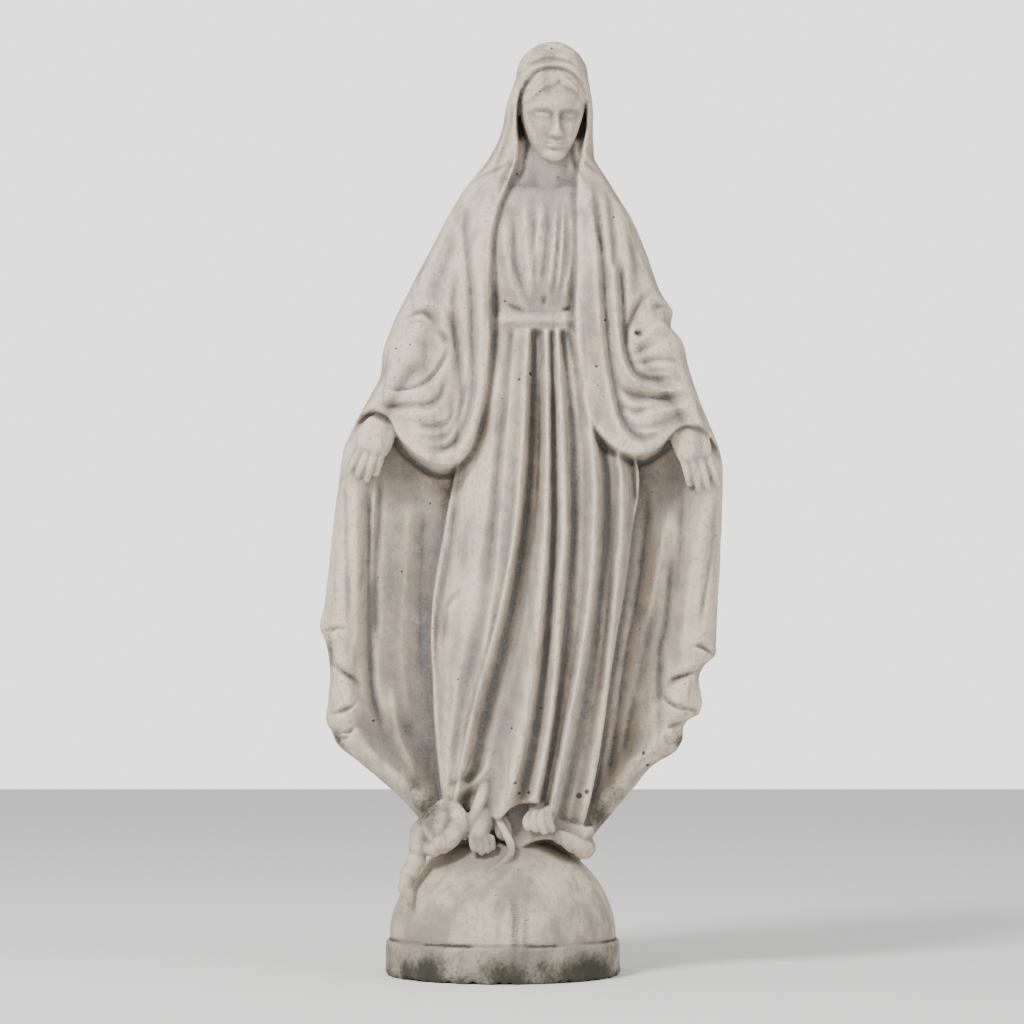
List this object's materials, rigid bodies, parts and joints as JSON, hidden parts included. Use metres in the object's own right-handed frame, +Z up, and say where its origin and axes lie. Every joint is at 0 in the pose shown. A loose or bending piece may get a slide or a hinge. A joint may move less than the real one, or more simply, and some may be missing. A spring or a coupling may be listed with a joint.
{
  "type": "concrete virgin mary garden statue",
  "caption": "Cast concrete garden statue of a veiled woman in a wide cloak, hands held out low, standing on a half globe with a snake and a low round collar.",
  "frame": {"origin": "centre of the round collar's underside, on the surface it stands on", "axes": "+Z up through the figure, the figure faces -Y, +X is on the viewer's right as the figure faces the viewer"},
  "size_m": [0.4277, 0.249, 0.9996],
  "materials": {
    "concrete": "weathered cast concrete, warm pale grey, grime in the hollows"
  },
  "bodies": {
    "root": {"virgin_mary_statue": "concrete"}
  },
  "joints": []
}
